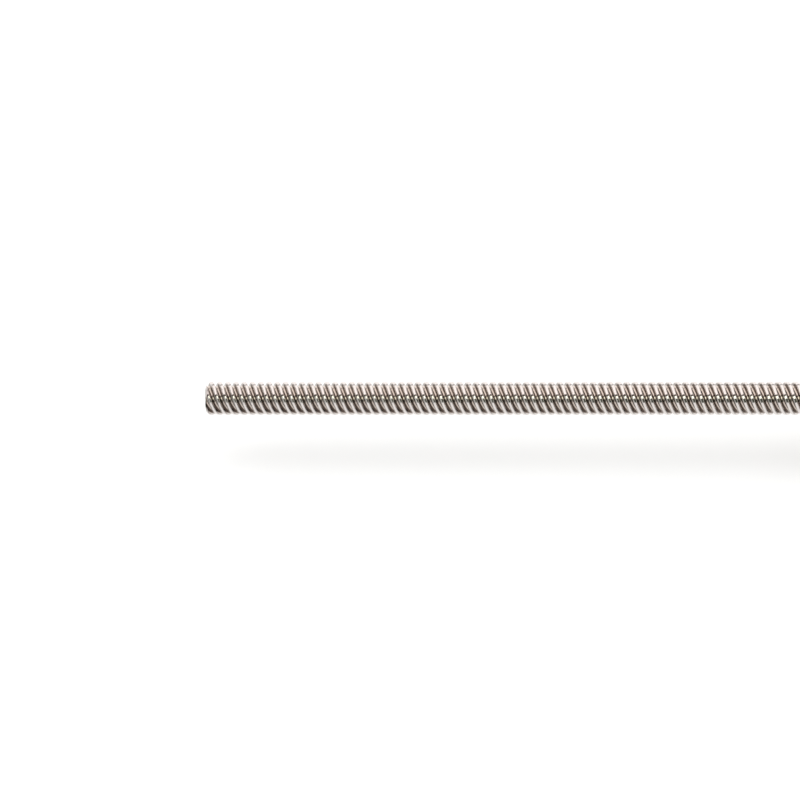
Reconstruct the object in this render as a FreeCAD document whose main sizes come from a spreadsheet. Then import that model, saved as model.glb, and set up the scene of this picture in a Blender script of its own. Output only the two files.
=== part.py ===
import FreeCAD, Part
import math
import os
import re

import Sketcher

# Lead screw drive, fixed at one end: a four-start trapezoidal screw, a spring-loaded
# anti-backlash nut on its bracket, a pillow block bearing, a lock collar and a beam coupling.
#
# Frame, in millimetres: +X runs along the screw from its free end to the motor end, +Z is up.
# The origin is on the underside of the pillow block, below the centre of the bearing.

Vector = FreeCAD.Vector
ALONG_X = FreeCAD.Rotation(Vector(0, 1, 0), 90)

# Points closer than TOUCHING, in millimetres, lie on the same plane. Edges closer than SEAM
# are sewn into one.
TOUCHING = 0.01
SEAM = 1e-5

# Angles about X, in degrees: set screws from +Z, bolts in the nut's flange from +Y.
INNER_SCREW_TURNS = (0, 120)
COLLAR_SCREW_TURN = 30
HUB_SCREW_TURNS = (0, 90)
NUT_BOLT_ANGLES = (45, 135, 225, 315)

# Where along X the set screws of each hub of the coupling are.
HUB_PLACES = {
    "screw": "coupling_start + hub_screw_place",
    "motor": "coupling_start + coupling_length - hub_screw_place",
}

SIZES = {
    # Screw and its four-start trapezoidal thread.
    "screw_length": 250.0,
    "free_length": 230.0,
    "thread_diameter": 8.0,
    "root_diameter": 5.9,
    "thread_pitch": 2.0,
    "thread_starts": 4,
    "crest_width": 0.8,
    "flank_angle": 15.0,
    "thread_offset": 1.51,
    "thread_clearance": 0.15,
    "thread_run": 50.0,
    "end_chamfer": 0.5,
    "bore_clearance": 0.02,
    # Pillow block.
    "axis_height": 15.0,
    "base_length": 55.0,
    "base_width": 13.0,
    "base_thickness": 5.0,
    "base_corner": 5.0,
    "foot_spacing": 42.0,
    "foot_hole": 4.8,
    "web_half_foot": 16.5,
    "web_half_top": 13.5,
    "web_width": 9.0,
    "ring_diameter": 28.0,
    "ring_width": 11.0,
    "casting_chamfer": 0.8,
    "foot_edge": 0.8,
    "seat_diameter": 22.0,
    "loading_slot": 7.4,
    "loading_length": 22.4,
    # Insert bearing.
    "race_width": 7.0,
    "race_shoulder": 17.8,
    "shield_seat": 19.2,
    "shield_recess": 0.9,
    "shield_thickness": 0.4,
    "shield_bore": 13.0,
    "shield_gap": 0.02,
    "ball_diameter": 3.969,
    "ball_count": 7,
    "ball_circle": 15.2,
    "groove_radius": 2.05,
    "inner_shoulder": 12.6,
    "inner_short_side": 3.5,
    "inner_long_side": 8.5,
    "inner_screw_place": 6.2,
    "cage_inside": 13.5,
    "cage_outside": 16.9,
    "cage_back": 2.35,
    "cage_front": 1.1,
    "pocket_radius": 2.12,
    # Set screws: small in the inner ring, larger in the collar and the coupling.
    "small_screw": 3.0,
    "small_screw_length": 2.6,
    "small_socket": 1.5,
    "large_screw": 4.0,
    "large_screw_length": 4.0,
    "large_socket": 2.0,
    "screw_gap": 0.02,
    "screw_chamfer": 0.4,
    "drill_reach": 20.0,
    # Lock collar.
    "collar_diameter": 16.0,
    "collar_width": 8.0,
    "collar_chamfer": 0.5,
    # Beam coupling.
    "coupling_start": 11.0,
    "coupling_length": 25.0,
    "coupling_diameter": 19.0,
    "coupling_chamfer": 0.6,
    "motor_bore": 5.0,
    "motor_bore_depth": 12.0,
    "relief_diameter": 9.2,
    "slit_start": 7.6,
    "slit_width": 0.8,
    "slit_pitch": 2.6,
    "slit_turns": 3.5,
    "hub_screw_place": 3.6,
    # Anti-backlash nut. Lengths run from the flange towards the free end of the screw.
    "flange_face": 52.0,
    "flange_diameter": 22.0,
    "flange_thickness": 3.5,
    "flange_chamfer": 0.4,
    "boss_diameter": 10.2,
    "boss_length": 1.5,
    "barrel_length": 8.0,
    "arm_length": 17.5,
    "arm_width": 4.4,
    "arm_diameter": 12.4,
    "arm_inside": 10.4,
    "arm_gap": 0.1,
    "arm_root": 0.4,
    "blank_bore": 2.0,
    "spring_length": 6.0,
    "spring_wire": 0.7,
    "spring_diameter": 10.0,
    "spring_turns": 3.5,
    "follower_length": 5.0,
    "follower_chamfer": 0.3,
    # Nut bracket and its four cap screws.
    "bracket_length": 24.0,
    "bracket_width": 34.0,
    "bracket_below": 13.0,
    "bracket_above": 16.0,
    "bracket_bore": 10.4,
    "bracket_chamfer": 0.8,
    "bracket_edge": 0.4,
    "table_spacing_along": 16.0,
    "table_spacing_across": 24.0,
    "table_hole": 4.4,
    "nut_bolt_circle": 16.0,
    "nut_bolt_hole": 3.5,
    "cap_screw": 3.0,
    "cap_screw_length": 12.0,
    "cap_head": 5.5,
    "cap_head_height": 3.0,
    "cap_head_edge": 0.3,
    "cap_socket": 2.5,
    "cap_socket_depth": 1.5,
    "tapped_depth": 10.0,
}

doc = FreeCAD.newDocument("lead_screw_drive")
sheet = doc.addObject("Spreadsheet::Sheet", "sizes")
for row, (alias, number) in enumerate(SIZES.items(), start=1):
    sheet.set(f"A{row}", alias)
    sheet.set(f"B{row}", str(number))
    sheet.setAlias(f"B{row}", alias)
doc.recompute()


# ---- reading the sheet ----

def size(alias):
    """The number in one cell of the sheet."""
    return float(sheet.get(alias))


def word_value(word):
    """The value of one word of a formula: a number or an alias, with an optional minus."""
    if word.startswith("-"):
        return -word_value(word[1:])
    return float(word) if word[0].isdigit() else size(word)


def value(formula):
    """The value of a formula of sheet cells, such as "boss_length + flange_diameter / 2"."""
    words = formula.split()
    total, product = 0.0, word_value(words[0])
    for operator, word in zip(words[1::2], words[2::2]):
        if operator == "*":
            product *= word_value(word)
        elif operator == "/":
            product /= word_value(word)
        else:
            total += product
            product = word_value(word) if operator == "+" else -word_value(word)
    return total + product


def bind(item, name, formula):
    """Ties a property, constraint or placement of an object to a formula of sheet cells."""
    item.setExpression(name, re.sub(r"[a-z_]+", lambda found: "sizes." + found.group(), formula))


# ---- building blocks ----

def origin_plane(body, role):
    """One of a body's own origin planes."""
    return next(item for item in body.Origin.OriginFeatures if item.Role == role)


def new_sketch(body, name, plane):
    """An empty sketch on one of the body's origin planes."""
    sketch = body.newObject("Sketcher::SketchObject", name)
    sketch.AttachmentSupport = [(origin_plane(body, plane), "")]
    sketch.MapMode = "FlatFace"
    return sketch


def polygon_sketch(body, name, plane, corners):
    """A closed outline of straight lines, each corner held by two formulas."""
    sketch = new_sketch(body, name, plane)
    points = [Vector(value(x), value(y), 0) for x, y in corners]
    for start, end in zip(points, points[1:] + points[:1]):
        sketch.addGeometry(Part.LineSegment(start, end), False)
    count = len(points)
    for edge in range(count):
        sketch.addConstraint(Sketcher.Constraint("Coincident", edge, 2, (edge + 1) % count, 1))
    for edge, corner in enumerate(corners):
        for kind, formula in zip(("DistanceX", "DistanceY"), corner):
            index = sketch.addConstraint(Sketcher.Constraint(kind, -1, 1, edge, 1, value(formula)))
            bind(sketch, f"Constraints[{index}]", formula)
    return sketch


def circle_sketch(body, name, plane, centres, radius):
    """Circles of one radius, with their centres held by formulas."""
    sketch = new_sketch(body, name, plane)
    for item, centre in enumerate(centres):
        middle = Vector(value(centre[0]), value(centre[1]), 0)
        sketch.addGeometry(Part.Circle(middle, Vector(0, 0, 1), value(radius)), False)
        index = sketch.addConstraint(Sketcher.Constraint("Radius", item, value(radius)))
        bind(sketch, f"Constraints[{index}]", radius)
        for kind, formula in zip(("DistanceX", "DistanceY"), centre):
            index = sketch.addConstraint(Sketcher.Constraint(kind, -1, 1, item, 3, value(formula)))
            bind(sketch, f"Constraints[{index}]", formula)
    return sketch


def turned(name, corners):
    """A body turned about the X axis from a half section of (x, radius) corners."""
    body = doc.addObject("PartDesign::Body", name)
    section = polygon_sketch(body, name + "_section", "XZ_Plane", corners)
    turn = body.newObject("PartDesign::Revolution", name + "_turn")
    turn.Profile = section
    turn.ReferenceAxis = (section, ["H_Axis"])
    turn.Angle = 360
    doc.recompute()
    return body


def pad(body, sketch, length, midplane=False):
    """Pads a sketch to a formula's length."""
    feature = body.newObject("PartDesign::Pad", sketch.Name + "_pad")
    feature.Profile = sketch
    bind(feature, "Length", length)
    feature.Midplane = midplane
    doc.recompute()
    return feature


def round_edges(body, feature, name, radius, wanted):
    """Fillets the edges of a feature that a test picks by their middle point and direction."""
    names = []
    for index, edge in enumerate(feature.Shape.Edges, start=1):
        middle = edge.valueAt((edge.FirstParameter + edge.LastParameter) / 2)
        ends = edge.Vertexes[-1].Point - edge.Vertexes[0].Point
        direction = ends.normalize() if ends.Length > 1e-6 else Vector(0, 0, 0)
        if wanted(middle, direction):
            names.append(f"Edge{index}")
    fillet = body.newObject("PartDesign::Fillet", name)
    fillet.Base = (feature, names)
    bind(fillet, "Radius", radius)
    doc.recompute()
    return fillet


def cylinder(name, radius, length, start, axis_x=True):
    """A cylinder along X from a formula's start, or along Z from below the origin."""
    item = doc.addObject("Part::Cylinder", name)
    bind(item, "Radius", radius)
    bind(item, "Height", length)
    item.Placement = FreeCAD.Placement(Vector(), ALONG_X if axis_x else FreeCAD.Rotation())
    bind(item, "Placement.Base.x" if axis_x else "Placement.Base.z", start)
    return item


def radial_hole(name, radius, place, turn):
    """A drill from the X axis outwards at a formula's place, turned about X from +Z."""
    item = doc.addObject("Part::Cylinder", name)
    bind(item, "Radius", radius)
    bind(item, "Height", "drill_reach")
    item.Placement = FreeCAD.Placement(Vector(), FreeCAD.Rotation(Vector(1, 0, 0), turn))
    bind(item, "Placement.Base.x", place)
    return item


def joined(name, pieces):
    """One tool fused from several."""
    item = doc.addObject("Part::MultiFuse", name)
    item.Shapes = pieces
    return item


def cut(name, base, tool):
    """base less tool."""
    item = doc.addObject("Part::Cut", name)
    item.Base = base
    item.Tool = tool
    return item


def group(name, pieces):
    """Several identical solids as one sub-part."""
    item = doc.addObject("Part::Compound", name)
    item.Links = pieces
    return item


# ---- the thread ----

def thread_profile(clearance):
    """Crest radius, root radius, crest width and flank width of the thread, grown all
    round by a clearance measured square to its surface."""
    slope = math.tan(math.radians(size("flank_angle")))
    slant = math.cos(math.radians(size("flank_angle")))
    crest_radius = size("thread_diameter") / 2 + clearance
    root_radius = size("root_diameter") / 2 + clearance
    crest_width = size("crest_width") + 2 * clearance * (1 / slant - slope)
    return crest_radius, root_radius, crest_width, (crest_radius - root_radius) * slope


def thread_section(first_angle, clearance):
    """The thread cut square to its axis: crest arc, flank, root arc and flank per start."""
    crest_radius, root_radius, crest_width, flank_width = thread_profile(clearance)
    lead = size("thread_pitch") * size("thread_starts")
    crest = 360 * crest_width / lead
    flank = 360 * flank_width / lead
    lobe = 360 / size("thread_starts")

    def at(radius, angle):
        turn = math.radians(angle)
        return Vector(0, radius * math.cos(turn), radius * math.sin(turn))

    def arc(radius, start, end):
        return Part.Arc(at(radius, start), at(radius, (start + end) / 2), at(radius, end)).toShape()

    def line(start, end):
        return Part.LineSegment(start, end).toShape()

    edges = []
    for start in range(int(size("thread_starts"))):
        crest_start = first_angle + start * lobe - crest / 2
        crest_end = crest_start + crest
        root_start = crest_end + flank
        root_end = crest_start + lobe - flank
        edges.append(arc(crest_radius, crest_start, crest_end))
        edges.append(line(at(crest_radius, crest_end), at(root_radius, root_start)))
        edges.append(arc(root_radius, root_start, root_end))
        edges.append(line(at(root_radius, root_end), at(crest_radius, crest_start + lobe)))
    return Part.Wire(edges)


def thread(name, start, length, clearance=0.0):
    """A right-hand thread along X from x = start, its crests in step with the screw's. It is
    one run of thread repeated along the helix and sewn up, so that no face is very long."""
    lead = size("thread_pitch") * size("thread_starts")
    runs = math.ceil(length / size("thread_run"))
    run_length = length / runs
    from_free_end = start + size("free_length") - size("thread_offset")
    section = thread_section(360 * from_free_end / lead, clearance)
    guide = Part.makeHelix(lead, run_length, size("thread_diameter"))
    guide.rotate(Vector(), Vector(0, 1, 0), 90)
    path = Part.Wire(Part.LineSegment(Vector(), Vector(run_length, 0, 0)).toShape())
    sweep = Part.BRepOffsetAPI.MakePipeShell(path)
    sweep.setAuxiliarySpine(Part.Wire(guide.Edges), True, 0)
    sweep.add(section, False, False)
    sweep.build()
    sweep.makeSolid()
    run = sweep.shape()
    sides = [face for face in run.Faces if not isinstance(face.Surface, Part.Plane)]
    ends = [face for face in run.Faces if isinstance(face.Surface, Part.Plane)]
    first_end, last_end = sorted(ends, key=lambda face: face.CenterOfMass.x)
    faces = [first_end]
    for index in range(runs):
        along = index * run_length
        turn = FreeCAD.Rotation(Vector(1, 0, 0), 360 * along / lead)
        step = FreeCAD.Placement(Vector(along, 0, 0), turn).toMatrix()
        faces += [side.transformed(step) for side in sides]
    faces.append(last_end.transformed(step))
    shell = Part.makeShell(faces)
    shell.sewShape(SEAM)
    item = doc.addObject("Part::Feature", name)
    item.Shape = Part.makeSolid(shell)
    item.Placement = FreeCAD.Placement(Vector(start, 0, 0), FreeCAD.Rotation())
    return item


def tapped(name, blank, start, length):
    """A nut blank with the screw's thread, plus its clearance, cut right through it."""
    margin = size("thread_pitch")
    tap = thread(name + "_tap", start - margin, length + 2 * margin, size("thread_clearance"))
    return cut(name, blank, tap)


# ---- screws ----

def hexagon(name, across_flats, depth):
    """A hexagonal prism along Z from the origin."""
    item = doc.addObject("Part::Prism", name)
    item.Polygon = 6
    bind(item, "Circumradius", f"{across_flats} / {math.sqrt(3):.6f}")
    bind(item, "Height", depth)
    return item


def set_screw(name, kind, place, head_radius, turn):
    """A flat-point set screw that points at the X axis, with its socket head_radius out."""
    radius = f"{kind}_screw / 2 - screw_gap"
    shank = doc.addObject("Part::Cylinder", name + "_shank")
    bind(shank, "Radius", radius)
    bind(shank, "Height", f"{kind}_screw_length")
    point = doc.addObject("Part::Chamfer", name + "_point")
    point.Base = shank
    doc.recompute()
    rims = [i for i, edge in enumerate(shank.Shape.Edges, start=1) if len(edge.Vertexes) == 1]
    point.Edges = [(i, size("screw_chamfer"), size("screw_chamfer")) for i in rims]
    socket = hexagon(name + "_socket", f"{kind}_socket", f"{kind}_screw_length / 2")
    bind(socket, "Placement.Base.z", f"{kind}_screw_length / 2")
    screw = cut(name, point, socket)
    spin = FreeCAD.Rotation(Vector(1, 0, 0), turn)
    foot = spin.multVec(Vector(0, 0, value(f"{head_radius} - {kind}_screw_length")))
    screw.Placement = FreeCAD.Placement(Vector(value(place), 0, 0) + foot, spin)
    return screw


def cap_screw(name, angle):
    """A socket head cap screw along +X, its head seated on the flange, on the bolt circle."""
    blank = turned(name + "_blank", [
        ("-cap_head_height", "0"),
        ("-cap_head_height", "cap_head / 2 - cap_head_edge"),
        ("-cap_head_height + cap_head_edge", "cap_head / 2"),
        ("0", "cap_head / 2"),
        ("0", "cap_screw / 2 - screw_gap"),
        ("cap_screw_length - screw_chamfer", "cap_screw / 2 - screw_gap"),
        ("cap_screw_length", "cap_screw / 2 - screw_chamfer"),
        ("cap_screw_length", "0"),
    ])
    socket = hexagon(name + "_socket", "cap_socket", "cap_socket_depth")
    socket.Placement = FreeCAD.Placement(Vector(), ALONG_X)
    bind(socket, "Placement.Base.x", "-cap_head_height")
    screw = cut(name, blank, socket)
    reach = size("nut_bolt_circle") / 2
    across, up = reach * math.cos(math.radians(angle)), reach * math.sin(math.radians(angle))
    seat = -size("flange_face") - size("flange_thickness")
    screw.Placement = FreeCAD.Placement(Vector(seat, across, up), FreeCAD.Rotation())
    return screw


# ---- sub-parts ----

def lead_screw():
    """The screw: one thread from end to end, with a chamfer at both ends."""
    start = -size("free_length")
    full = thread("screw_thread", start, size("screw_length"))
    bar = turned("screw_envelope", [
        ("-free_length", "0"),
        ("-free_length", "thread_diameter / 2 - end_chamfer"),
        ("-free_length + end_chamfer * 2", "thread_diameter / 2 + end_chamfer"),
        ("screw_length - free_length - end_chamfer * 2", "thread_diameter / 2 + end_chamfer"),
        ("screw_length - free_length", "thread_diameter / 2 - end_chamfer"),
        ("screw_length - free_length", "0"),
    ])
    item = doc.addObject("Part::Common", "lead_screw")
    item.Base = full
    item.Tool = bar
    return item


def bearing_housing():
    """The pillow block: a drilled foot, a web and a ring with a spherical seat, and the
    slot in the ring's motor side through which the bearing is loaded."""
    body = doc.addObject("PartDesign::Body", "housing_casting")
    foot = polygon_sketch(body, "foot", "XY_Plane", [
        ("-base_width / 2", "-base_length / 2"), ("base_width / 2", "-base_length / 2"),
        ("base_width / 2", "base_length / 2"), ("-base_width / 2", "base_length / 2"),
    ])
    plate = pad(body, foot, "base_thickness")
    top = size("base_thickness")
    plate = round_edges(body, plate, "foot_corners", "base_corner",
                        lambda middle, way: abs(way.z) > 0.9)
    round_edges(body, plate, "foot_edges", "foot_edge",
                lambda middle, way: abs(middle.z - top) < TOUCHING)
    web = polygon_sketch(body, "web", "YZ_Plane", [
        ("-web_half_foot", "base_thickness / 2"), ("web_half_foot", "base_thickness / 2"),
        ("web_half_foot", "base_thickness"), ("web_half_top", "axis_height"),
        ("-web_half_top", "axis_height"), ("-web_half_foot", "base_thickness"),
    ])
    pad(body, web, "web_width", midplane=True)
    ring = turned("housing_ring", [
        ("-ring_width / 2", "0"),
        ("-ring_width / 2", "ring_diameter / 2 - casting_chamfer"),
        ("-ring_width / 2 + casting_chamfer", "ring_diameter / 2"),
        ("ring_width / 2 - casting_chamfer", "ring_diameter / 2"),
        ("ring_width / 2", "ring_diameter / 2 - casting_chamfer"),
        ("ring_width / 2", "0"),
    ])
    bind(ring, "Placement.Base.z", "axis_height")
    casting = joined("housing_casting_whole", [body, ring])
    seat = doc.addObject("Part::Sphere", "housing_seat")
    bind(seat, "Radius", "seat_diameter / 2")
    bind(seat, "Placement.Base.z", "axis_height")
    slot = doc.addObject("Part::Box", "housing_slot")
    bind(slot, "Length", "ring_width")
    bind(slot, "Width", "loading_length")
    bind(slot, "Height", "loading_slot")
    bind(slot, "Placement.Base.y", "-loading_length / 2")
    bind(slot, "Placement.Base.z", "axis_height - loading_slot / 2")
    holes = []
    for side, sign in (("right", "-"), ("left", "")):
        hole = cylinder(f"foot_hole_{side}", "foot_hole / 2", "base_thickness * 3", "-base_thickness",
                        axis_x=False)
        bind(hole, "Placement.Base.y", f"{sign}foot_spacing / 2")
        holes.append(hole)
    hollow = cut("housing_slotted", cut("housing_seated", casting, seat), slot)
    return cut("bearing_housing", hollow, joined("foot_holes", holes))


def raceway(name):
    """The ring-shaped groove that the balls run in."""
    item = doc.addObject("Part::Torus", name)
    bind(item, "Radius1", "ball_circle / 2")
    bind(item, "Radius2", "groove_radius")
    item.Placement = FreeCAD.Placement(Vector(), ALONG_X)
    return item


def bearing_outer_ring():
    """The outer race: spherical outside, grooved inside, with a seat for each shield."""
    ball = doc.addObject("Part::Sphere", "outer_sphere")
    bind(ball, "Radius", "seat_diameter / 2 - bore_clearance")
    slab = cylinder("outer_slab", "seat_diameter", "race_width", "-race_width / 2")
    blank = doc.addObject("Part::Common", "outer_blank")
    blank.Base = ball
    blank.Tool = slab
    bore = cylinder("outer_bore", "race_shoulder / 2", "race_width * 2", "-race_width")
    left = cylinder("left_seat", "shield_seat / 2", "race_width", "-race_width * 1.5 + shield_recess")
    right = cylinder("right_seat", "shield_seat / 2", "race_width", "race_width / 2 - shield_recess")
    tools = joined("outer_tools", [bore, left, right, raceway("outer_raceway")])
    return cut("bearing_outer_ring", blank, tools)


def bearing_shield(name, side):
    """A dished steel shield in the outer ring's seat. side is "-" for the nut's side, or ""."""
    inwards, outwards = ("+", "-") if side == "-" else ("-", "+")
    seat = f"{side}race_width / 2 {inwards} shield_recess"
    rim = f"{side}race_width / 2 {inwards} shield_recess / 4"
    web = f"{seat} {outwards} shield_thickness"
    return turned(name, [
        (seat, "shield_bore / 2"),
        (seat, "shield_seat / 2 - shield_gap"),
        (rim, "shield_seat / 2 - shield_gap"),
        (rim, "shield_seat / 2 - shield_thickness"),
        (web, "shield_seat / 2 - shield_thickness * 2"),
        (web, "shield_bore / 2"),
    ])


def bearing_inner_ring():
    """The inner race, longer on the motor side, where two set screws grip the screw."""
    blank = turned("inner_blank", [
        ("-inner_short_side", "thread_diameter / 2 + bore_clearance"),
        ("-inner_short_side", "inner_shoulder / 2"),
        ("inner_long_side - screw_chamfer", "inner_shoulder / 2"),
        ("inner_long_side", "inner_shoulder / 2 - screw_chamfer"),
        ("inner_long_side", "thread_diameter / 2 + bore_clearance"),
    ])
    holes = [radial_hole(f"inner_hole_{turn}", "small_screw / 2", "inner_screw_place", turn)
             for turn in INNER_SCREW_TURNS]
    return cut("bearing_inner_ring", blank, joined("inner_tools", [raceway("inner_raceway")] + holes))


def ball_angles():
    """Angles of the balls about X, in degrees."""
    count = int(size("ball_count"))
    return [360 * index / count for index in range(count)]


def ball_place(angle):
    """The centre of the ball at an angle about X."""
    reach = size("ball_circle") / 2
    return Vector(0, -reach * math.sin(math.radians(angle)), reach * math.cos(math.radians(angle)))


def bearing_balls():
    """The bearing's balls."""
    balls = []
    for index, angle in enumerate(ball_angles(), start=1):
        ball = doc.addObject("Part::Sphere", f"ball_{index}")
        bind(ball, "Radius", "ball_diameter / 2")
        ball.Placement = FreeCAD.Placement(ball_place(angle), FreeCAD.Rotation())
        balls.append(ball)
    return group("bearing_balls", balls)


def ball_cage():
    """A crown cage: a ring behind the balls, with a drilled pocket for each, open in front."""
    ring = turned("cage_ring", [
        ("-cage_back", "cage_inside / 2"), ("-cage_back", "cage_outside / 2"),
        ("cage_front", "cage_outside / 2"), ("cage_front", "cage_inside / 2"),
    ])
    pockets = []
    for index, angle in enumerate(ball_angles(), start=1):
        pockets.append(radial_hole(f"pocket_{index}", "pocket_radius", "0", angle))
    return cut("ball_cage", ring, joined("cage_pockets", pockets))


def inner_ring_set_screws():
    """The two set screws in the inner ring."""
    return group("inner_ring_set_screws", [
        set_screw(f"inner_screw_{turn}", "small", "inner_screw_place",
                  "inner_shoulder / 2 + screw_chamfer", turn)
        for turn in INNER_SCREW_TURNS
    ])


def lock_collar():
    """The collar that shoulders the screw against the bearing."""
    start = "-inner_short_side - collar_width"
    blank = turned("collar_blank", [
        (start, "thread_diameter / 2 + bore_clearance"),
        (start, "collar_diameter / 2 - collar_chamfer"),
        (start + " + collar_chamfer", "collar_diameter / 2"),
        ("-inner_short_side - collar_chamfer", "collar_diameter / 2"),
        ("-inner_short_side", "collar_diameter / 2 - collar_chamfer"),
        ("-inner_short_side", "thread_diameter / 2 + bore_clearance"),
    ])
    hole = radial_hole("collar_hole", "large_screw / 2", "-inner_short_side - collar_width / 2",
                       COLLAR_SCREW_TURN)
    return cut("lock_collar", blank, hole)


def lock_collar_set_screw():
    """The set screw in the lock collar, sunk just below its rim."""
    return set_screw("lock_collar_set_screw", "large", "-inner_short_side - collar_width / 2",
                     "collar_diameter / 2 + bore_clearance", COLLAR_SCREW_TURN)


def coupling_body():
    """A one-piece beam coupling: two bored hubs joined by the coil that a helical slit
    leaves between them."""
    end = "coupling_start + coupling_length"
    blank = turned("coupling_blank", [
        ("coupling_start", "thread_diameter / 2 + bore_clearance"),
        ("coupling_start", "coupling_diameter / 2 - coupling_chamfer"),
        ("coupling_start + coupling_chamfer", "coupling_diameter / 2"),
        (end + " - coupling_chamfer", "coupling_diameter / 2"),
        (end, "coupling_diameter / 2 - coupling_chamfer"),
        (end, "motor_bore / 2"),
        (end + " - motor_bore_depth", "motor_bore / 2"),
        (end + " - motor_bore_depth", "thread_diameter / 2 + bore_clearance"),
    ])
    slit = polygon_sketch(blank, "slit", "XZ_Plane", [
        ("coupling_start + slit_start", "motor_bore / 4"),
        ("coupling_start + slit_start", "coupling_diameter / 2 + coupling_chamfer"),
        ("coupling_start + slit_start + slit_width", "coupling_diameter / 2 + coupling_chamfer"),
        ("coupling_start + slit_start + slit_width", "motor_bore / 4"),
    ])
    coil = blank.newObject("PartDesign::SubtractiveHelix", "slit_coil")
    coil.Profile = slit
    coil.ReferenceAxis = (slit, ["H_Axis"])
    coil.Mode = 0
    bind(coil, "Pitch", "slit_pitch")
    bind(coil, "Height", "slit_pitch * slit_turns")
    blank.Tip = coil
    doc.recompute()
    holes = []
    for side, place in HUB_PLACES.items():
        for turn in HUB_SCREW_TURNS:
            holes.append(radial_hole(f"hub_hole_{side}_{turn}", "large_screw / 2", place, turn))
    return cut("coupling_body", blank, joined("coupling_tools", holes))


def coupling_set_screws(name, side):
    """The two set screws in one hub of the coupling, a quarter turn apart."""
    return group(name, [
        set_screw(f"{side}_hub_screw_{turn}", "large", HUB_PLACES[side],
                  "coupling_diameter / 2 - screw_chamfer", turn)
        for turn in HUB_SCREW_TURNS
    ])


def arm_box(name, length, half_width, start):
    """A box along X, centred on the axis and wider than the nut, for arms and notches."""
    box = doc.addObject("Part::Box", name)
    bind(box, "Length", length)
    bind(box, "Width", "arm_diameter * 2")
    bind(box, "Height", f"2 * ({half_width})")
    bind(box, "Placement.Base.x", start)
    bind(box, "Placement.Base.y", "-arm_diameter")
    bind(box, "Placement.Base.z", f"-({half_width})")
    return box


def flange_nut():
    """The main nut: a drilled flange with a short boss, a barrel, and two arms that reach
    past the barrel to guide the follower nut."""
    back = "-flange_face - flange_thickness"
    barrel = turned("nut_barrel", [
        ("-flange_face + boss_length", "blank_bore / 2"),
        ("-flange_face + boss_length", "boss_diameter / 2"),
        ("-flange_face", "boss_diameter / 2"),
        ("-flange_face", "flange_diameter / 2 - flange_chamfer"),
        ("-flange_face - flange_chamfer", "flange_diameter / 2"),
        (back + " + flange_chamfer", "flange_diameter / 2"),
        (back, "flange_diameter / 2 - flange_chamfer"),
        (back, "boss_diameter / 2"),
        (back + " - barrel_length", "boss_diameter / 2"),
        (back + " - barrel_length", "blank_bore / 2"),
    ])
    sleeve = turned("arm_sleeve", [
        (back + " + flange_chamfer", "arm_inside / 2 - arm_root"),
        (back + " + flange_chamfer", "arm_diameter / 2"),
        (back + " - arm_length", "arm_diameter / 2"),
        (back + " - arm_length", "arm_inside / 2"),
        (back + " - barrel_length", "arm_inside / 2"),
        (back + " - barrel_length", "arm_inside / 2 - arm_root"),
    ])
    window = arm_box("arm_window", "arm_length * 2", "arm_width / 2", back + " - arm_length * 1.1")
    arms = doc.addObject("Part::Common", "nut_arms")
    arms.Base = sleeve
    arms.Tool = window
    solid = joined("nut_solid", [barrel, arms])
    holes = []
    reach = size("nut_bolt_circle") / 2
    for index, angle in enumerate(NUT_BOLT_ANGLES, start=1):
        hole = cylinder(f"nut_hole_{index}", "nut_bolt_hole / 2", "flange_thickness * 3",
                        back + " - flange_thickness")
        hole.Placement.Base.y = reach * math.cos(math.radians(angle))
        hole.Placement.Base.z = reach * math.sin(math.radians(angle))
        holes.append(hole)
    drilled = cut("nut_drilled", solid, joined("nut_holes", holes))
    length = value("boss_length + flange_thickness + barrel_length")
    return tapped("flange_nut", drilled, value(back + " - barrel_length"), length)


def follower_nut():
    """The second nut, notched on both sides for the main nut's arms."""
    near = "-flange_face - flange_thickness - barrel_length - spring_length"
    blank = turned("follower_blank", [
        (near, "blank_bore / 2"),
        (near, "arm_diameter / 2 - follower_chamfer"),
        (near + " - follower_chamfer", "arm_diameter / 2"),
        (near + " - follower_length + follower_chamfer", "arm_diameter / 2"),
        (near + " - follower_length", "arm_diameter / 2 - follower_chamfer"),
        (near + " - follower_length", "blank_bore / 2"),
    ])
    notches = arm_box("follower_notches", "follower_length * 2", "arm_width / 2 + arm_gap",
                      near + " - follower_length * 1.5")
    keep = cylinder("follower_core", "arm_inside / 2 - arm_gap", "follower_length * 3",
                    near + " - follower_length * 2")
    notched = cut("follower_notched", blank, cut("notch_tool", notches, keep))
    return tapped("follower_nut", notched, value(near + " - follower_length"), size("follower_length"))


def backlash_spring():
    """The compression spring that pushes the two nuts apart along the screw: a right-hand
    coil of half turns, each a half circle in a plane that leans along the screw."""
    wire = size("spring_wire") / 2
    reach = size("spring_diameter") / 2 - wire
    halves = round(2 * size("spring_turns"))
    rise = (size("spring_length") - 2 * wire - 2 * size("screw_gap")) / halves
    coil = []
    for half in range(halves):
        side = -1 if half % 2 else 1
        start = Vector(half * rise, 0, side * reach)
        centre = Vector((half + 0.5) * rise, 0, 0)
        section = Part.Face(Part.Wire(Part.Circle(start, Vector(0, 1, 0), wire).toShape()))
        coil.append(section.revolve(centre, Vector(2 * reach, 0, side * rise), 180))
    item = doc.addObject("Part::Feature", "backlash_spring")
    item.Shape = coil[0].fuse(coil[1:])
    near = value("-flange_face - flange_thickness - barrel_length - spring_length")
    item.Placement = FreeCAD.Placement(Vector(near + size("screw_gap") + wire, 0, 0), FreeCAD.Rotation())
    return item


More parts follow.
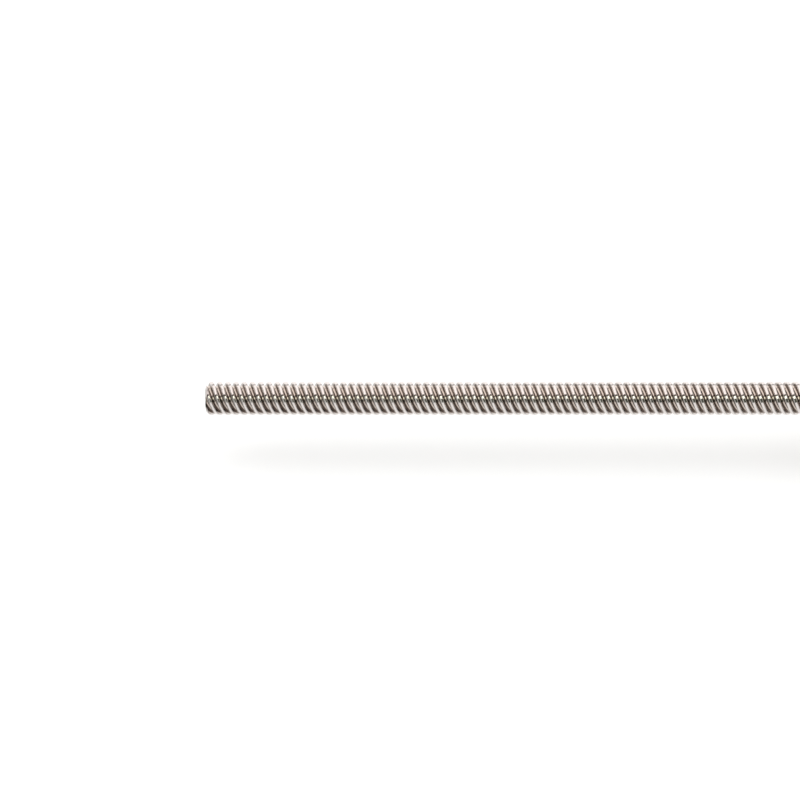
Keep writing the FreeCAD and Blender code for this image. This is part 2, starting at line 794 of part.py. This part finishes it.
def nut_bracket():
    """The block that the nut is screwed to, with four holes for the table that it carries."""
    body = doc.addObject("PartDesign::Body", "bracket_block")
    plan = polygon_sketch(body, "bracket_side", "YZ_Plane", [
        ("-bracket_width / 2 + bracket_chamfer", "-bracket_below"),
        ("bracket_width / 2 - bracket_chamfer", "-bracket_below"),
        ("bracket_width / 2", "-bracket_below + bracket_chamfer"),
        ("bracket_width / 2", "bracket_above - bracket_chamfer"),
        ("bracket_width / 2 - bracket_chamfer", "bracket_above"),
        ("-bracket_width / 2 + bracket_chamfer", "bracket_above"),
        ("-bracket_width / 2", "bracket_above - bracket_chamfer"),
        ("-bracket_width / 2", "-bracket_below + bracket_chamfer"),
    ])
    block = pad(body, plan, "bracket_length")
    ends = (0, size("bracket_length"))
    round_edges(body, block, "bracket_ends", "bracket_edge",
                lambda middle, way: min(abs(middle.x - end) for end in ends) < TOUCHING)
    bind(body, "Placement.Base.x", "-flange_face")
    tools = [cylinder("bracket_bore_tool", "bracket_bore / 2", "bracket_length * 2",
                      "-flange_face - bracket_length / 2")]
    reach = size("nut_bolt_circle") / 2
    for index, angle in enumerate(NUT_BOLT_ANGLES, start=1):
        hole = cylinder(f"bracket_tapping_{index}", "cap_screw / 2", "tapped_depth * 2",
                        "-flange_face - tapped_depth")
        hole.Placement.Base.y = reach * math.cos(math.radians(angle))
        hole.Placement.Base.z = reach * math.sin(math.radians(angle))
        tools.append(hole)
    for along in ("-", "+"):
        for across in ("-", ""):
            hole = cylinder("table_hole_tool", "table_hole / 2", "bracket_above * 3",
                            "-bracket_above * 1.5", axis_x=False)
            place = f"-flange_face + bracket_length / 2 {along} table_spacing_along / 2"
            bind(hole, "Placement.Base.x", place)
            bind(hole, "Placement.Base.y", f"{across}table_spacing_across / 2")
            tools.append(hole)
    return cut("nut_bracket", body, joined("bracket_tools", tools))


def nut_screws():
    """The four cap screws that hold the nut's flange to its bracket."""
    return group("nut_screws", [
        cap_screw(f"nut_screw_{index}", angle) for index, angle in enumerate(NUT_BOLT_ANGLES, start=1)
    ])


# ---- the assembly ----

SUB_PARTS = [
    lead_screw(),
    bearing_outer_ring(),
    bearing_shield("bearing_shield_nut_side", "-"),
    bearing_shield("bearing_shield_motor_side", ""),
    bearing_inner_ring(),
    bearing_balls(),
    ball_cage(),
    inner_ring_set_screws(),
    lock_collar(),
    lock_collar_set_screw(),
    coupling_body(),
    coupling_set_screws("coupling_screws_screw_side", "screw"),
    coupling_set_screws("coupling_screws_motor_side", "motor"),
    flange_nut(),
    backlash_spring(),
    follower_nut(),
    nut_bracket(),
    nut_screws(),
]
for item in SUB_PARTS:
    lift = FreeCAD.Placement(Vector(0, 0, size("axis_height")), FreeCAD.Rotation())
    item.Placement = lift.multiply(item.Placement)
SUB_PARTS.append(bearing_housing())

doc.recompute()
for item in doc.Objects:
    if {"Invalid", "Error"} & set(item.State):
        raise SystemExit(f"{item.Name} failed: {item.State}")
for item in SUB_PARTS:
    item.Label = item.Name
    if item.Shape.isNull() or not item.Shape.isValid() or not item.Shape.Solids:
        raise SystemExit(f"{item.Name} has no valid shape")

os.makedirs("parts", exist_ok=True)
for item in SUB_PARTS:
    item.Shape.exportStep(os.path.join("parts", item.Label + ".step"))
    print(f"{item.Label}: {len(item.Shape.Solids)} solids, {item.Shape.Volume:.2f} mm3")
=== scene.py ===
import math

import bmesh
import bpy
from mathutils import Matrix, Vector


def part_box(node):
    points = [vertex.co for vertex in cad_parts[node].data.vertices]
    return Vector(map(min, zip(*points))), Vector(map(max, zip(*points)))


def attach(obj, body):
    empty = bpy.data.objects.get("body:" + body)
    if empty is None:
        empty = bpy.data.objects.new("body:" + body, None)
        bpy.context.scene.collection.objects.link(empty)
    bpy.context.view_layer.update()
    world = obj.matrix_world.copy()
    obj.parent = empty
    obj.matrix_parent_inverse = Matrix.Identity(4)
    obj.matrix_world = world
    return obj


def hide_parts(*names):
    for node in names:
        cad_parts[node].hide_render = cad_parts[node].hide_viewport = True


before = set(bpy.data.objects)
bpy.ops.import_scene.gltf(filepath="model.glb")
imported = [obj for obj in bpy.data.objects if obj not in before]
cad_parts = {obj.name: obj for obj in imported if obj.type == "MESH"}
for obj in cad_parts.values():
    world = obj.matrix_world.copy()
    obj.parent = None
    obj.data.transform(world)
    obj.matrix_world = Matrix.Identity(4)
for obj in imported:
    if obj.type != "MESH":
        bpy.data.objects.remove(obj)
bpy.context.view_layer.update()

MM = 0.001
AXIS_Z = 15 * MM
SCREW_LOW, SCREW_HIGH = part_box("lead_screw")
FREE_END, MOTOR_END = SCREW_LOW.x, SCREW_HIGH.x

# The thread, in mm. THREAD_OFFSET is how far in from the free end a crest line meets +Y.
PITCH, STARTS = 2.0, 4
LEAD = PITCH * STARTS
CREST_RADIUS, ROOT_RADIUS = 4.0, 2.95
CREST_WIDTH, THREAD_OFFSET = 0.8, 1.51
FLANK_ANGLE = math.radians(15)
END_CHAMFER = 0.5


# ---- camera ----

# The camera stands square to the screw at a point 176.7 mm in from the free end, turns a
# little towards that end and aims just under the screw's axis.
CAMERA_TILT = math.radians(24.0)
CAMERA_TURN = math.radians(6.6)
CAMERA_REACH = 1123.8 * MM
CAMERA_FOOT = 176.7 * MM
AIM_BELOW = 0.41 * MM
SENSOR_WIDTH, LENS = 36, 212.6
CLIP_START, CLIP_END = 0.01, 20


def place_camera():
    """Adds the camera and makes it the scene's own."""
    data = bpy.data.cameras.new("camera")
    data.sensor_width = SENSOR_WIDTH
    data.lens = LENS
    data.clip_start = CLIP_START
    data.clip_end = CLIP_END
    camera = bpy.data.objects.new("camera", data)
    bpy.context.scene.collection.objects.link(camera)
    out = Vector((0, -math.cos(CAMERA_TILT), math.sin(CAMERA_TILT)))
    above = Vector((0, math.sin(CAMERA_TILT), math.cos(CAMERA_TILT)))
    foot = Vector((FREE_END + CAMERA_FOOT, 0, AXIS_Z))
    place = foot + out * CAMERA_REACH
    target = foot - Vector((CAMERA_REACH * math.tan(CAMERA_TURN), 0, 0)) - above * AIM_BELOW
    back = (place - target).normalized()
    right = (Vector((1, 0, 0)) - back * back.x).normalized()
    up = back.cross(right)
    turn = Matrix((right, up, back)).transposed().to_4x4()
    camera.matrix_world = Matrix.Translation(place) @ turn
    bpy.context.scene.camera = camera


# ---- node helpers ----

def node(tree, kind, inputs=(), **settings):
    """Adds a node. inputs are (socket, value or other socket) pairs."""
    made = tree.nodes.new(kind)
    for name, setting in settings.items():
        setattr(made, name, setting)
    for socket, value in inputs:
        if isinstance(value, bpy.types.NodeSocket):
            tree.links.new(value, made.inputs[socket])
        else:
            made.inputs[socket].default_value = value
    return made


def maths(tree, operation, *values):
    """The result of a maths node."""
    return node(tree, "ShaderNodeMath", enumerate(values), operation=operation).outputs[0]


def map_range(tree, value, low, high, to_low=0.0, to_high=1.0):
    """Takes low to high on to to_low to to_high, with what is beyond held at the ends."""
    inputs = [(0, value), (1, low), (2, high), (3, to_low), (4, to_high)]
    return node(tree, "ShaderNodeMapRange", inputs).outputs[0]


def ramp(tree, factor, stops):
    """A colour ramp. stops are (position, grey or colour)."""
    made = node(tree, "ShaderNodeValToRGB", [(0, factor)])
    elements = made.color_ramp.elements
    while len(elements) < len(stops):
        elements.new(0.5)
    for element, (position, colour) in zip(elements, stops):
        element.position = position
        if isinstance(colour, (int, float)):
            colour = (colour,) * 3
        element.color = (*colour, 1)
    return made.outputs[0]


def mix(tree, factor, a, b, blend="MIX"):
    """Mixes two colours."""
    made = node(tree, "ShaderNodeMix", data_type="RGBA", blend_type=blend)
    for socket, value in ((0, factor), (6, a), (7, b)):
        if isinstance(value, bpy.types.NodeSocket):
            tree.links.new(value, made.inputs[socket])
        else:
            made.inputs[socket].default_value = value if socket == 0 else (*value, 1)
    return made.outputs[2]


def noise(tree, vector, scale, detail, roughness=0.5):
    """The value of a noise texture."""
    inputs = [("Vector", vector), ("Scale", scale), ("Detail", detail), ("Roughness", roughness)]
    return node(tree, "ShaderNodeTexNoise", inputs).outputs[0]


def scaled(tree, vector, by):
    """A vector times another, part by part."""
    return node(tree, "ShaderNodeVectorMath", [(0, vector), (1, by)], operation="MULTIPLY").outputs[0]


def bump(tree, height, strength, distance, normal=None):
    """A bumped normal, on top of another one if normal is given."""
    inputs = [("Height", height), ("Strength", strength), ("Distance", distance)]
    if normal is not None:
        inputs.append(("Normal", normal))
    return node(tree, "ShaderNodeBump", inputs).outputs[0]


# ---- light ----

# The colour of the dome that lights all but what shines back from metal.
DOME = (1.26, 1.26, 1.255)
# Sideways is how far a direction points along X, and behind is how far along Y.
SIDEWAYS_IN_FRONT = [(0.20, 1.0), (0.30, 0.05), (0.68, 0.05), (0.80, 0.8)]
SIDEWAYS_BEHIND = [(0.70, 1.0), (0.95, 0.6)]
BEHIND_FROM, BEHIND_TO = 0.15, 0.55
# The pale front gives way to the dim one between these directions along X.
DIM_FROM, DIM_TO = -0.140, -0.105
LIGHT_MAP_SIZE = 1024

def studio_light():
    """A soft studio. What shines back from metal is a wide softbox overhead, a pale wall
    behind, pale paper below, a low strip light in front and dim gaps between them. All
    else is lit by an even pale dome. Brightness goes by direction only."""
    world = bpy.data.worlds.new("studio")
    bpy.context.scene.world = world
    world.use_nodes = True
    tree = world.node_tree
    tree.nodes.clear()
    direction = node(tree, "ShaderNodeTexCoord").outputs["Generated"]
    x, y, z = node(tree, "ShaderNodeSeparateXYZ", [(0, direction)]).outputs
    front = maths(tree, "MULTIPLY", y, -1.0)
    angle = maths(tree, "ARCTAN2", z, front)
    # 0 is straight down, 0.25 level in front, 0.5 overhead and 0.75 level behind.
    share = maths(tree, "DIVIDE", angle, 2 * math.pi)
    turn = maths(tree, "FRACT", maths(tree, "ADD", share, 0.25))

    def at(degrees):
        """The turn this many degrees up from level in front."""
        return (degrees + 90) / 360

    dim = (0.060, 0.066, 0.052)
    gap = (0.055, 0.036, 0.030)
    paper = (0.98, 0.96, 0.95)
    room = ramp(tree, turn, [
        (0.0, paper),
        (at(-9), paper),
        (at(-5), (0, 0, 0)),
        (at(40), (0, 0, 0)),
        (at(42), gap),
        (at(49), gap),
        (at(52), (1.34, 1.23, 1.20)),
        (at(126), (1.26, 1.20, 1.18)),
        (at(129), gap),
        (at(134), gap),
        (at(137), (1.20, 1.16, 1.15)),
        (at(180), (1.15, 1.13, 1.12)),
        (1.0, paper),
    ])
    # The front of the room is dim, with the strip light in it, and pale towards the left.
    front_dim = ramp(tree, turn, [
        (at(-9), 0.0),
        (at(-5), dim),
        (at(20), dim),
        (at(23), (1.7, 1.75, 1.5)),
        (at(37), (2.0, 2.0, 1.7)),
        (at(40), 0.0),
    ])
    front_pale = ramp(tree, turn, [
        (at(-9), 0.0),
        (at(-5), (0.72, 0.71, 0.68)),
        (at(20), (0.62, 0.61, 0.57)),
        (at(26), (0.95, 0.95, 0.86)),
        (at(37), (0.55, 0.52, 0.46)),
        (at(40), 0.0),
    ])
    to_right = map_range(tree, x, DIM_FROM, DIM_TO)
    front_room = mix(tree, to_right, front_pale, front_dim)
    room = mix(tree, 1.0, room, front_room, blend="ADD")
    sideways = maths(tree, "ABSOLUTE", x)
    open_front = ramp(tree, sideways, SIDEWAYS_IN_FRONT)
    open_behind = ramp(tree, sideways, SIDEWAYS_BEHIND)
    behind = map_range(tree, y, BEHIND_FROM, BEHIND_TO)
    open_room = mix(tree, behind, open_front, open_behind)
    shine = mix(tree, 1.0, room, open_room, blend="MULTIPLY")
    glossy = node(tree, "ShaderNodeLightPath").outputs["Is Glossy Ray"]
    colour = mix(tree, glossy, DOME, shine)
    background = node(tree, "ShaderNodeBackground", [("Color", colour), ("Strength", 1.0)])
    node(tree, "ShaderNodeOutputWorld", [("Surface", background.outputs[0])])
    world.cycles.sampling_method = "MANUAL"
    world.cycles.sample_map_resolution = LIGHT_MAP_SIZE


# The floor's radius and drop are in metres. The drop keeps it clear of the object's underside.
FLOOR_SIDES, FLOOR_RADIUS, FLOOR_DROP = 96, 6.0, 0.0001
FLOOR_COLOUR = (0.93, 0.93, 0.925, 1)
FLOOR_ROUGHNESS, FLOOR_SHINE = 0.9, 0.1


def floor():
    """A plain pale floor, far wider than the object."""
    mesh = bpy.data.meshes.new("floor")
    build = bmesh.new()
    ring = []
    for i in range(FLOOR_SIDES):
        angle = 2 * math.pi * i / FLOOR_SIDES
        place = (FLOOR_RADIUS * math.cos(angle), FLOOR_RADIUS * math.sin(angle), 0)
        ring.append(build.verts.new(place))
    build.faces.new(ring)
    build.to_mesh(mesh)
    build.free()
    item = bpy.data.objects.new("floor", mesh)
    item.location.z = -FLOOR_DROP
    bpy.context.scene.collection.objects.link(item)
    material = bpy.data.materials.new("floor_paper")
    material.use_nodes = True
    shader = material.node_tree.nodes["Principled BSDF"]
    shader.inputs["Base Color"].default_value = FLOOR_COLOUR
    shader.inputs["Roughness"].default_value = FLOOR_ROUGHNESS
    shader.inputs["Specular IOR Level"].default_value = FLOOR_SHINE
    mesh.materials.append(material)
    item.visible_glossy = False


# ---- materials ----

def material(name):
    """A new material, its node tree, shader and the object's own coordinates."""
    made = bpy.data.materials.new(name)
    made.use_nodes = True
    tree = made.node_tree
    shader = tree.nodes["Principled BSDF"]
    coordinates = node(tree, "ShaderNodeTexCoord").outputs["Object"]
    return made, tree, shader, coordinates


def connect(tree, shader, **values):
    """Sets the shader's inputs, each from a socket, a colour or a number."""
    for name, value in values.items():
        socket = shader.inputs[name.replace("_", " ")]
        if isinstance(value, bpy.types.NodeSocket):
            tree.links.new(value, socket)
        elif isinstance(value, tuple):
            socket.default_value = (*value, 1)
        else:
            socket.default_value = value


def about_axis(tree, coordinates):
    """x, y and z from the screw's axis, and the distance out from it."""
    inputs = [(0, coordinates), (1, (0, 0, AXIS_Z))]
    centred = node(tree, "ShaderNodeVectorMath", inputs, operation="SUBTRACT").outputs[0]
    x, y, z = node(tree, "ShaderNodeSeparateXYZ", [(0, centred)]).outputs
    squares = maths(tree, "ADD", maths(tree, "MULTIPLY", y, y), maths(tree, "MULTIPLY", z, z))
    return x, y, z, maths(tree, "SQRT", squares)


def tool_marks(tree, coordinates, marks):
    """The noise of a finish: turned, milled, drawn or cast."""
    if marks == "turned":
        x, y, z, out = about_axis(tree, coordinates)
        lathe = node(tree, "ShaderNodeCombineXYZ", [(0, x), (1, out)]).outputs[0]
        return noise(tree, lathe, 9000, 2, 0.6)
    if marks == "milled":
        return noise(tree, scaled(tree, coordinates, (160, 5200, 5200)), 1, 2, 0.6)
    if marks == "drawn":
        return noise(tree, scaled(tree, coordinates, (400, 3000, 3000)), 1, 2, 0.6)
    return noise(tree, coordinates, 1800, 5, 0.65)


# What share of a metal's varying roughness comes from its tool marks, and from its clouds.
MARKS_SHARE, CLOUD_SHARE = 0.6, 0.4
# The part of a noise's range that is spread over a roughness.
NOISE_LOW, NOISE_HIGH = 0.3, 0.7
# A spot's colour as a share of the metal's darker tone.
SPOT_DARKNESS = 0.45
MARKS_BUMP, GRAIN_BUMP = 0.35, 0.10
# A bump node's distance as a multiple of the depth of the marks.
BUMP_REACH = 10


def metal(name, light, shade, rough, marks="turned", mark_depth=0.004, speckle=0.0, wear=None):
    """A metal. light and shade are its two tones, rough the lowest and highest roughness.
    marks are turned, milled, cast or drawn, with mark_depth in mm. speckle is how dark its
    spots are, and wear is a brighter colour for its edges."""
    made, tree, shader, coordinates = material(name)
    cloud = noise(tree, coordinates, 140, 4)
    tone = ramp(tree, cloud, [(0.35, 0.0), (0.68, 1.0)])
    colour = mix(tree, tone, light, shade)
    lines = tool_marks(tree, coordinates, marks)
    fine = noise(tree, coordinates, 5200, 2)
    marks_part = maths(tree, "MULTIPLY", lines, MARKS_SHARE)
    cloud_part = maths(tree, "MULTIPLY", cloud, CLOUD_SHARE)
    spread = maths(tree, "ADD", marks_part, cloud_part)
    roughness = map_range(tree, spread, NOISE_LOW, NOISE_HIGH, rough[0], rough[1])
    if speckle:
        spots = ramp(tree, fine, [(0.60, 0.0), (0.72, 1.0)])
        dark = tuple(part * SPOT_DARKNESS for part in shade)
        colour = mix(tree, maths(tree, "MULTIPLY", spots, speckle), colour, dark)
    if wear:
        edge = node(tree, "ShaderNodeNewGeometry").outputs["Pointiness"]
        worn = ramp(tree, edge, [(0.515, 0.0), (0.56, 1.0)])
        worn = maths(tree, "MULTIPLY", worn, noise(tree, coordinates, 900, 3))
        colour = mix(tree, worn, colour, wear)
    reach = mark_depth * MM * BUMP_REACH
    normal = bump(tree, lines, MARKS_BUMP, reach)
    normal = bump(tree, fine, GRAIN_BUMP, reach, normal)
    connect(tree, shader, Base_Color=colour, Metallic=1.0, Roughness=roughness, Normal=normal)
    return made


# The screw's colour from its root (0) to its crests (1), with light and shade painted in: a tan root
# as a painted warm reflection, dark flanks as painted shade in the grooves, and pale crests in the
# steel's own tone.
PAINTED_GROOVE_SHADE_TONES = [
    (0.02, (0.66, 0.575, 0.51)),
    (0.12, (0.20, 0.16, 0.14)),
    (0.55, (0.17, 0.14, 0.12)),
    (0.72, (0.82, 0.79, 0.77)),
]
# The radii between which that painted shade and reflection run, in mm.
PAINTED_SHADE_FROM, PAINTED_SHADE_TO = 2.97, 3.97
CLOUD_COLOUR, SPOT_COLOUR = (0.60, 0.54, 0.50), (0.34, 0.28, 0.24)
CLOUD_STRENGTH, SPOT_STRENGTH = 0.35, 0.35
# How fast the scuffs change across the thread, along the screw and out from its axis.
SCUFFS_ACROSS, SCUFFS_ALONG, SCUFFS_OUT = 2.2, 260.0, 5000.0
SMOOTHEST, ROUGHEST = 0.06, 0.13


def screw_steel():
    """Rolled, polished stainless steel with faint scuffs that run along the thread."""
    made, tree, shader, coordinates = material("rolled_stainless_steel")
    x, y, z, out = about_axis(tree, coordinates)
    angle = maths(tree, "ARCTAN2", z, y)
    # across stays the same along a crest line, so the scuffs follow the helix.
    across = maths(tree, "SUBTRACT", x, maths(tree, "MULTIPLY", angle, LEAD * MM / (2 * math.pi)))
    wave = maths(tree, "SINE", maths(tree, "MULTIPLY", across, 2 * math.pi / (PITCH * MM)))
    around = node(tree, "ShaderNodeCombineXYZ", [
        (0, maths(tree, "MULTIPLY", wave, SCUFFS_ACROSS)),
        (1, maths(tree, "MULTIPLY", x, SCUFFS_ALONG)),
        (2, maths(tree, "MULTIPLY", out, SCUFFS_OUT)),
    ]).outputs[0]
    scuffs = noise(tree, around, 1.0, 4, 0.6)
    cloud = noise(tree, coordinates, 220, 4)
    pits = noise(tree, coordinates, 2600, 3)
    # Painted shade and reflection: the colour goes by distance from the axis, dark on the flanks and
    # tan in the root.
    painted_shade_depth = map_range(tree, out, PAINTED_SHADE_FROM * MM, PAINTED_SHADE_TO * MM)
    colour = ramp(tree, painted_shade_depth, PAINTED_GROOVE_SHADE_TONES)
    colour = mix(tree, maths(tree, "MULTIPLY", cloud, CLOUD_STRENGTH), colour, CLOUD_COLOUR)
    spots = ramp(tree, pits, [(0.63, 0.0), (0.75, 1.0)])
    colour = mix(tree, maths(tree, "MULTIPLY", spots, SPOT_STRENGTH), colour, SPOT_COLOUR)
    roughness = map_range(tree, scuffs, NOISE_LOW, NOISE_HIGH, SMOOTHEST, ROUGHEST)
    waves = noise(tree, coordinates, 1100, 2)
    normal = bump(tree, scuffs, 0.22, 0.02 * MM)
    normal = bump(tree, pits, 0.16, 0.015 * MM, normal)
    normal = bump(tree, waves, 0.35, 0.05 * MM, normal)
    connect(tree, shader, Base_Color=colour, Metallic=1.0, Roughness=roughness, Normal=normal)
    return made


# ---- the screw ----

# The radii of one start's four corners, in mm, and the steps that each is drawn in.
CORNER_RADII = (0.16, 0.24, 0.24, 0.16)
CORNER_STEPS = 4
# Each straight beside a corner gives up at most this share of its length to it.
CORNER_SHARE = 0.45

# Rings of vertices along the screw: spaced evenly, and closer at each end, in mm.
RING_SPACING = 0.22
END_PLACES = [0.0, 0.12, 0.25, 0.37, 0.5, 0.65, 0.85, 1.05]
END_RINGS = 6


def rounded(points, radii, steps):
    """An open line of 2-D points with its inner corners rounded, each by its own radius."""
    result = [points[0]]
    for before, corner, after, radius in zip(points, points[1:], points[2:], radii):
        a = (before - corner).normalized()
        b = (after - corner).normalized()
        half = a.angle(b) / 2
        room = CORNER_SHARE * min((before - corner).length, (after - corner).length)
        back = min(radius / math.tan(half), room)
        centre = corner + (a + b).normalized() * (back / math.cos(half))
        start, end = corner + a * back - centre, corner + b * back - centre
        for step in range(steps + 1):
            share = step / steps
            way = start.lerp(end, share).normalized() * start.length
            result.append(centre + way)
    result.append(points[-1])
    return result


def thread_outline():
    """One start of the thread as (distance across it, radius) in mm, over one pitch."""
    flank = (CREST_RADIUS - ROOT_RADIUS) * math.tan(FLANK_ANGLE)
    corners = [
        Vector((0, CREST_RADIUS)),
        Vector((CREST_WIDTH / 2, CREST_RADIUS)),
        Vector((CREST_WIDTH / 2 + flank, ROOT_RADIUS)),
        Vector((PITCH - CREST_WIDTH / 2 - flank, ROOT_RADIUS)),
        Vector((PITCH - CREST_WIDTH / 2, CREST_RADIUS)),
        Vector((PITCH, CREST_RADIUS)),
    ]
    return rounded(corners, CORNER_RADII, CORNER_STEPS)[:-1]


def screw_mesh():
    """The threaded rod with a chamfer at each end, as rings that turn with the helix."""
    outline = []
    for start in range(STARTS):
        outline += [(start * PITCH + across, radius) for across, radius in thread_outline()]
    length = (MOTOR_END - FREE_END) / MM
    last = int(length / RING_SPACING) - END_RINGS
    inner = [i * RING_SPACING for i in range(END_RINGS, last + 1)]
    places = END_PLACES + inner + [length - place for place in reversed(END_PLACES)]
    build = bmesh.new()
    rings = []
    for place in places:
        limit = CREST_RADIUS - END_CHAMFER + min(place, length - place, END_CHAMFER)
        ring = []
        for across, radius in outline:
            # A crest line is where across and the turn since the offset agree.
            angle = 2 * math.pi * (place - THREAD_OFFSET - across) / LEAD
            reach = min(radius, limit)
            ring.append(build.verts.new((
                FREE_END + place * MM,
                reach * MM * math.cos(angle),
                AXIS_Z + reach * MM * math.sin(angle),
            )))
        rings.append(ring)
    for ring, following in zip(rings, rings[1:]):
        for i in range(len(ring)):
            j = (i + 1) % len(ring)
            build.faces.new((ring[i], ring[j], following[j], following[i]))
    for ring, x in ((rings[0], FREE_END), (rings[-1], MOTOR_END)):
        centre = build.verts.new((x, 0, AXIS_Z))
        for i in range(len(ring)):
            build.faces.new((ring[i], ring[(i + 1) % len(ring)], centre))
    bmesh.ops.recalc_face_normals(build, faces=build.faces)
    for face in build.faces:
        face.smooth = True
    for ring in (rings[0], rings[-1]):
        for i in range(len(ring)):
            build.edges.get((ring[i], ring[(i + 1) % len(ring)])).smooth = False
    mesh = bpy.data.meshes.new("threaded_screw")
    build.to_mesh(mesh)
    build.free()
    return mesh


def threaded_screw(finish):
    """Puts the threaded rod in the place of the CAD's screw."""
    screw = bpy.data.objects.new("threaded_screw", screw_mesh())
    screw.data.materials.append(finish)
    bpy.context.scene.collection.objects.link(screw)
    # The wide faces set the normals, so crests and roots shine as flat bands.
    shading = screw.modifiers.new("flat_crests", "WEIGHTED_NORMAL")
    shading.weight = 100
    shading.keep_sharp = True
    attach(screw, "screw")
    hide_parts("lead_screw")


# ---- the CAD's own pieces ----

CRISP_ANGLE = math.radians(28)


def finish_node(name, finish):
    """Gives a CAD node its material and smooth shading with crisp corners."""
    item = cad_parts[name]
    item.data.materials.clear()
    item.data.materials.append(finish)
    for face in item.data.polygons:
        face.use_smooth = True
    item.data.set_sharp_from_angle(angle=CRISP_ANGLE)


place_camera()
studio_light()
floor()
bpy.context.scene.view_settings.view_transform = "Standard"

bright = metal("ground_bearing_steel", (0.80, 0.80, 0.81), (0.66, 0.66, 0.68), (0.10, 0.22),
               mark_depth=0.002)
shield = metal("pressed_shield_steel", (0.70, 0.71, 0.72), (0.58, 0.59, 0.61), (0.22, 0.36),
               mark_depth=0.003)
balls = metal("polished_ball_steel", (0.86, 0.86, 0.87), (0.78, 0.78, 0.80), (0.04, 0.09),
              marks="cast", mark_depth=0.0005)
cage = metal("cage_strip_steel", (0.62, 0.60, 0.56), (0.50, 0.49, 0.47), (0.28, 0.42),
             mark_depth=0.003)
collar = metal("plated_collar_steel", (0.74, 0.74, 0.75), (0.60, 0.60, 0.62), (0.20, 0.34),
               mark_depth=0.004)
black = metal("black_oxide_steel", (0.050, 0.050, 0.055), (0.028, 0.028, 0.032), (0.30, 0.48),
              marks="cast", mark_depth=0.003, speckle=0.3, wear=(0.34, 0.33, 0.33))
spring = metal("drawn_spring_steel", (0.70, 0.70, 0.71), (0.56, 0.56, 0.58), (0.18, 0.30),
               marks="drawn", mark_depth=0.002)
brass = metal("turned_brass", (0.86, 0.64, 0.30), (0.70, 0.49, 0.20), (0.16, 0.32),
              mark_depth=0.004, speckle=0.12)
coupling = metal("turned_aluminium", (0.86, 0.865, 0.875), (0.76, 0.77, 0.785), (0.20, 0.34),
                 mark_depth=0.004)
bracket = metal("milled_aluminium", (0.80, 0.805, 0.82), (0.70, 0.71, 0.73), (0.34, 0.50),
                marks="milled", mark_depth=0.004)
housing = metal("die_cast_zinc", (0.60, 0.61, 0.625), (0.46, 0.47, 0.485), (0.42, 0.60),
                marks="cast", mark_depth=0.012, speckle=0.15, wear=(0.78, 0.79, 0.80))

threaded_screw(screw_steel())
FINISHES = {
    "bearing_housing": housing,
    "bearing_outer_ring": bright,
    "bearing_inner_ring": bright,
    "bearing_shield_nut_side": shield,
    "bearing_shield_motor_side": shield,
    "bearing_balls": balls,
    "ball_cage": cage,
    "inner_ring_set_screws": black,
    "lock_collar": collar,
    "lock_collar_set_screw": black,
    "coupling_body": coupling,
    "coupling_screws_screw_side": black,
    "coupling_screws_motor_side": black,
    "flange_nut": brass,
    "backlash_spring": spring,
    "follower_nut": brass,
    "nut_bracket": bracket,
    "nut_screws": black,
}
for name, finish in FINISHES.items():
    finish_node(name, finish)

bpy.context.view_layer.update()
